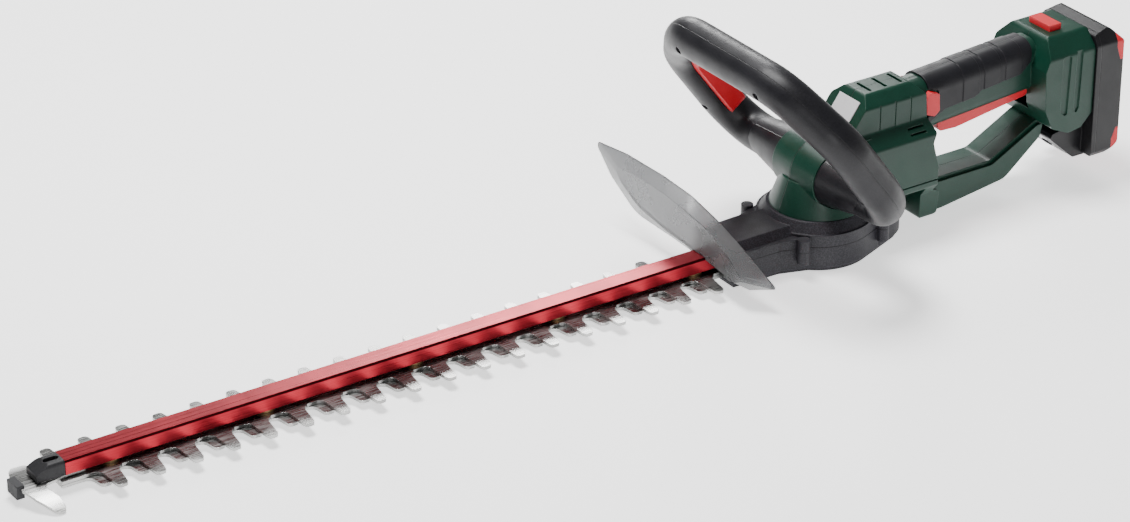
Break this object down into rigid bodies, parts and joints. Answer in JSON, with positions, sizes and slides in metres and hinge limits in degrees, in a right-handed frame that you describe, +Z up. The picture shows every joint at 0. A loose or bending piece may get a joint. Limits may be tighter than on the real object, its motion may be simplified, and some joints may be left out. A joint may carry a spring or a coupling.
{
  "type": "battery hedge trimmer",
  "caption": "Battery hedge trimmer: double-sided toothed blades under a red bar, clear hand guard, leaning front loop handle, rear D handle with trigger, slide-on battery.",
  "frame": {"origin": "on the flat underside of the gear housing, below the crank axis", "axes": "+X towards the back of the tool, +Z up, -Y the left side of someone holding it"},
  "size_m": [1.005, 0.2676, 0.2006],
  "materials": {
    "aluminium_tray": "cast",
    "anodised_red": "anodised, brushed",
    "black_plastic": "fine grain",
    "black_rubber": "soft grip",
    "brass_contact": "plated",
    "bronze": "sintered",
    "cell_wrap": "wrapped cell",
    "copper_iron": "wound",
    "dark_plastic": "fine grain",
    "green_plastic": "fine grain",
    "grey_lens": "smooth",
    "grey_plastic": "fine grain",
    "ground_steel": "ground",
    "lead_black": "insulated wire",
    "lead_red": "insulated wire",
    "motor_steel": "rolled",
    "nickel": "nickel strip",
    "pale_badge": "printed label, blank",
    "red_plastic": "smooth",
    "smoke_clear": "smoky, see-through",
    "zinc_steel": "zinc plated"
  },
  "bodies": {
    "tool": {"blade_bolts": "zinc_steel", "blade_bushes": "bronze", "blade_washers": "zinc_steel", "control_board": "aluminium_tray", "gear_bearings": "zinc_steel", "gear_case_lower": "grey_plastic", "gear_case_screws": "zinc_steel", "gear_case_upper": "grey_plastic", "guide_bar": "anodised_red", "hand_guard": "smoke_clear", "hand_guard_screws": "zinc_steel", "housing_screws": "zinc_steel", "hub_bolt": "zinc_steel", "hub_nut": "zinc_steel", "left_grip": "black_rubber", "left_housing": "green_plastic", "loop_front_shell": "dark_plastic", "loop_rear_shell": "dark_plastic", "loop_screws": "zinc_steel", "loop_switches": "black_plastic", "main_switch": "black_plastic", "motor_bearings": "zinc_steel", "motor_can": "motor_steel", "motor_leads": "lead_red", "motor_stator": "copper_iron", "name_plate": "pale_badge", "pack_leads": "lead_black", "release_spring": "zinc_steel", "right_grip": "black_rubber", "right_housing": "green_plastic", "terminal_block": "black_plastic", "tip_bumper": "black_rubber", "tip_cap": "black_plastic", "tip_guard": "black_plastic", "tip_screw": "zinc_steel", "trigger_pin": "zinc_steel", "trigger_spring": "zinc_steel"},
    "upper_blade": {"upper_blade": "ground_steel"},
    "lower_blade": {"lower_blade": "ground_steel"},
    "drive_gear": {"drive_gear": "ground_steel"},
    "rotor": {"motor_rotor": "ground_steel", "motor_fan": "black_plastic"},
    "trigger": {"trigger": "red_plastic"},
    "lock_button": {"lock_button": "red_plastic"},
    "release_button": {"release_button": "red_plastic"},
    "pack": {"pack_base": "black_plastic", "pack_case": "black_plastic", "pack_trim": "red_plastic", "pack_cells": "cell_wrap", "cell_links": "nickel", "pack_contacts": "brass_contact", "pack_screws": "zinc_steel", "gauge_lens": "grey_lens"},
    "gauge_button": {"gauge_button": "black_rubber"},
    "switch_bar": {"switch_bar": "red_plastic"}
  },
  "joints": [
    {"name": "upper_blade_stroke", "type": "slide", "parent": "tool", "child": "upper_blade", "axis": [1, 0, 0], "range_m": [-0.0115, 0.004]},
    {"name": "lower_blade_stroke", "type": "slide", "parent": "tool", "child": "lower_blade", "axis": [1, 0, 0], "range_m": [-0.004, 0.0115]},
    {"name": "gear_spin", "type": "hinge", "parent": "tool", "child": "drive_gear", "pos_m": [0, 0, 0.017], "axis": [0, 0, 1], "continuous": true},
    {"name": "rotor_spin", "type": "hinge", "parent": "tool", "child": "rotor", "pos_m": [0.0475, 0, 0.06], "axis": [0, 0, 1], "continuous": true},
    {"name": "trigger_squeeze", "type": "hinge", "parent": "tool", "child": "trigger", "pos_m": [0.12, 0, 0.091], "axis": [0, -1, 0], "range_deg": [0, 6], "stiffness_Nm_per_rad": 1, "springref_deg": -5.73, "deforming": ["trigger_spring"]},
    {"name": "lock_press", "type": "slide", "parent": "tool", "child": "lock_button", "axis": [0, 1, 0], "range_m": [-0.004, 0.004], "stiffness_N_per_m": 400},
    {"name": "release_press", "type": "slide", "parent": "tool", "child": "release_button", "axis": [0, 0, -1], "range_m": [0, 0.004], "stiffness_N_per_m": 500, "springref_m": -0.002, "deforming": ["release_spring"]},
    {"name": "pack_slide", "type": "slide", "parent": "tool", "child": "pack", "axis": [0, 0, -1], "range_m": [0, 0.09]},
    {"name": "gauge_press", "type": "slide", "parent": "pack", "child": "gauge_button", "axis": [0.6698, 0, 0.7426], "range_m": [0, 0.0008], "stiffness_N_per_m": 600, "springref_m": -0.0005},
    {"name": "front_switch", "type": "slide", "parent": "tool", "child": "switch_bar", "axis": [-0.6018, 0, 0.7986], "range_m": [0, 0.004], "stiffness_N_per_m": 900, "springref_m": -0.002}
  ],
  "couplings": [
    {"joint": "lower_blade_stroke", "follows": "upper_blade_stroke", "ratio": -1},
    {"joint": "rotor_spin", "follows": "gear_spin", "ratio": -4.4286}
  ]
}
